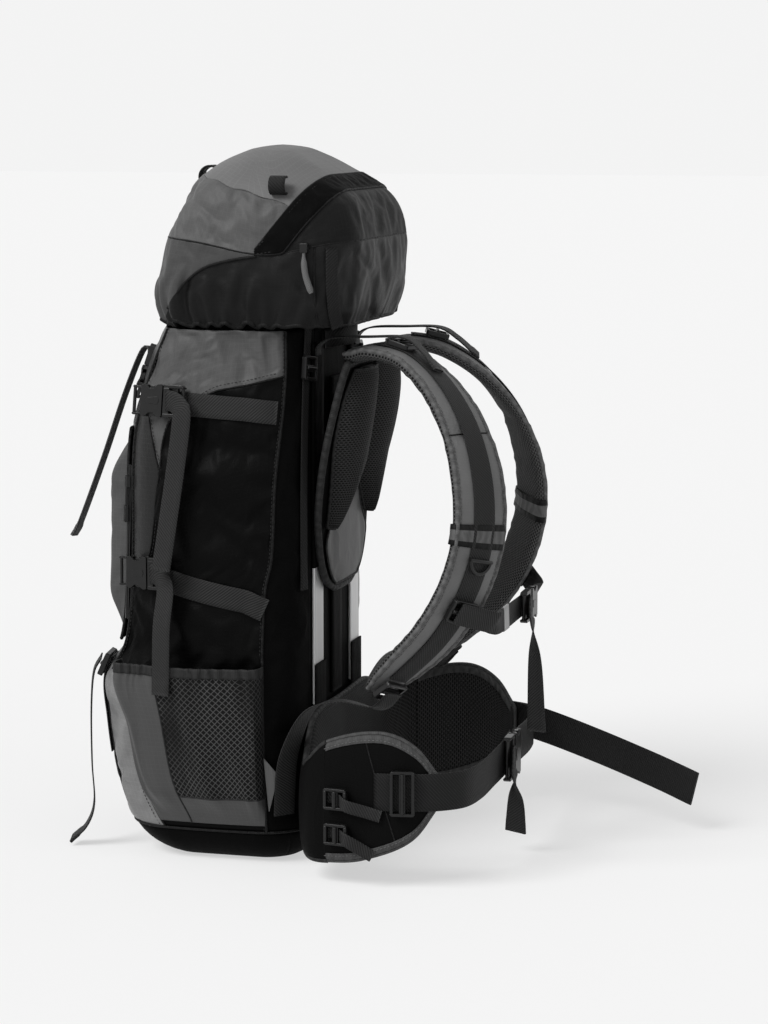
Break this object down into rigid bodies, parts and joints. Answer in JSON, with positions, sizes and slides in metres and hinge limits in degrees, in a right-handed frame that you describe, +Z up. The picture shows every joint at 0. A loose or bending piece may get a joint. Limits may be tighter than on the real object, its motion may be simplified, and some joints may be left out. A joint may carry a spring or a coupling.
{
  "type": "hiking backpack",
  "caption": "Tall hiking backpack with a hinged lid, zipped and mesh pockets, a sliding padded harness, buckled webbing straps and a padded hip belt.",
  "frame": {"origin": "on the floor under the middle of the bag, in the flat of its base", "axes": "+Z up along the bag, +Y from the bag to the wearer's back, +X to the wearer's right"},
  "size_m": [0.427, 0.6689, 0.769],
  "materials": {
    "grey_ripstop": "woven, satin",
    "black_nylon": "coated nylon, soft sheen",
    "mesh": "open net",
    "padded_mesh": "spacer mesh over foam",
    "pad_grey": "woven over foam",
    "webbing": "ribbed webbing",
    "cord": "braided cord",
    "buckle_plastic": "matte",
    "zip": "coil zip",
    "board": "sheet",
    "aluminium": "satin"
  },
  "bodies": {
    "bag": {"back_panel": "black_nylon", "side_panel_right": "black_nylon", "side_panel_left": "black_nylon", "front_panel": "grey_ripstop", "bottom_panel": "black_nylon", "collar": "black_nylon", "collar_drawcord": "cord", "cord_lock": "buckle_plastic", "frame_sheet": "board", "stays": "aluminium", "stay_pockets": "black_nylon", "spine_strip": "webbing", "haul_loop": "webbing", "front_pocket": "grey_ripstop", "zip_tracks": "zip", "mesh_pocket_right": "mesh", "mesh_pocket_left": "mesh", "front_webbing": "webbing", "bottom_adjusters": "buckle_plastic", "side_webbing": "webbing", "strap_females": "buckle_plastic", "anchor_straps": "webbing", "lumbar_pad": "padded_mesh"},
    "lid": {"lid_top": "grey_ripstop", "lid_rear": "black_nylon", "lid_skirt": "black_nylon", "lid_floor": "black_nylon", "lid_band": "black_nylon", "lid_zip_slider": "zip", "lid_loops": "webbing", "lid_straps": "webbing"},
    "harness": {"yoke": "pad_grey", "back_pads": "padded_mesh", "yoke_panel": "pad_grey", "shoulder_pads": "pad_grey", "shoulder_webbing": "webbing", "shoulder_bands": "webbing", "shoulder_adjusters": "buckle_plastic", "load_lifters": "webbing", "sternum_strap": "webbing", "sternum_fittings": "buckle_plastic"},
    "wing_right": {"wing_right": "black_nylon", "belt_webbing_right": "webbing", "wing_fittings_right": "buckle_plastic"},
    "wing_left": {"wing_left": "black_nylon", "belt_webbing_left": "webbing", "wing_fittings_left": "buckle_plastic"},
    "zip_pull_body": {"lid_zip_pull": "cord"},
    "lid_male_right": {"lid_male_right": "buckle_plastic"},
    "lid_male_left": {"lid_male_left": "buckle_plastic"},
    "zip_slider_right": {"zip_slider_right": "zip"},
    "zip_slider_left": {"zip_slider_left": "zip"},
    "side_male_upper_right": {"side_male_upper_right": "buckle_plastic"},
    "side_male_upper_left": {"side_male_upper_left": "buckle_plastic"},
    "side_male_lower_right": {"side_male_lower_right": "buckle_plastic"},
    "side_male_lower_left": {"side_male_lower_left": "buckle_plastic"},
    "d_ring_right": {"d_ring_right": "buckle_plastic"},
    "d_ring_left": {"d_ring_left": "buckle_plastic"},
    "sternum_male": {"sternum_male": "buckle_plastic"},
    "belt_male": {"belt_male": "buckle_plastic"}
  },
  "joints": [
    {"name": "lid_hinge", "type": "hinge", "parent": "bag", "child": "lid", "pos_m": [0, 0.148, 0.585], "axis": [-1, 0, 0], "range_deg": [0, 72]},
    {"name": "lid_buckle_right", "type": "slide", "parent": "lid", "child": "lid_male_right", "axis": [-0.1122, 0.2987, 0.9477], "range_m": [0, 0.018]},
    {"name": "lid_buckle_left", "type": "slide", "parent": "lid", "child": "lid_male_left", "axis": [0.1122, 0.2987, 0.9477], "range_m": [0, 0.018]},
    {"name": "lid_zip_pull_swing", "type": "hinge", "parent": "lid", "child": "zip_pull_body", "pos_m": [0.14666, 0.113, 0.667], "axis": [0, -1, 0], "range_deg": [0, 120]},
    {"name": "zip_right", "type": "slide", "parent": "bag", "child": "zip_slider_right", "axis": [-0.0061, 0.0348, 0.9994], "range_m": [-0.1, 0.01]},
    {"name": "zip_left", "type": "slide", "parent": "bag", "child": "zip_slider_left", "axis": [0.0061, 0.0348, 0.9994], "range_m": [-0.1, 0.01]},
    {"name": "side_buckle_upper_right", "type": "slide", "parent": "bag", "child": "side_male_upper_right", "axis": [0.1466, 0.9892, 0], "range_m": [0, 0.025]},
    {"name": "side_buckle_upper_left", "type": "slide", "parent": "bag", "child": "side_male_upper_left", "axis": [-0.1466, 0.9892, 0], "range_m": [0, 0.025]},
    {"name": "side_buckle_lower_right", "type": "slide", "parent": "bag", "child": "side_male_lower_right", "axis": [0.2903, 0.9569, 0], "range_m": [0, 0.025]},
    {"name": "side_buckle_lower_left", "type": "slide", "parent": "bag", "child": "side_male_lower_left", "axis": [-0.2903, 0.9569, 0], "range_m": [0, 0.025]},
    {"name": "torso_adjust", "type": "slide", "parent": "bag", "child": "harness", "axis": [0, 0, 1], "range_m": [-0.04, 0], "deforming": ["anchor_straps"]},
    {"name": "d_ring_right_swing", "type": "hinge", "parent": "harness", "child": "d_ring_right", "pos_m": [0.14128, 0.3027, 0.3431], "axis": [0.806, -0.5571, 0.2001], "range_deg": [0, 110]},
    {"name": "d_ring_left_swing", "type": "hinge", "parent": "harness", "child": "d_ring_left", "pos_m": [-0.14128, 0.3027, 0.3431], "axis": [0.806, 0.5571, -0.2001], "range_deg": [0, 110]},
    {"name": "sternum_buckle", "type": "slide", "parent": "harness", "child": "sternum_male", "axis": [1, 0, 0], "range_m": [0, 0.025]},
    {"name": "hip_wing_right", "type": "hinge", "parent": "bag", "child": "wing_right", "pos_m": [0.19862, 0.14831, 0.1], "axis": [0, 0, -1], "range_deg": [0, 35]},
    {"name": "hip_wing_left", "type": "hinge", "parent": "bag", "child": "wing_left", "pos_m": [-0.19862, 0.14831, 0.1], "axis": [0, 0, 1], "range_deg": [0, 35]},
    {"name": "hip_buckle", "type": "slide", "parent": "wing_right", "child": "belt_male", "axis": [1, 0, 0], "range_m": [0, 0.025]}
  ]
}
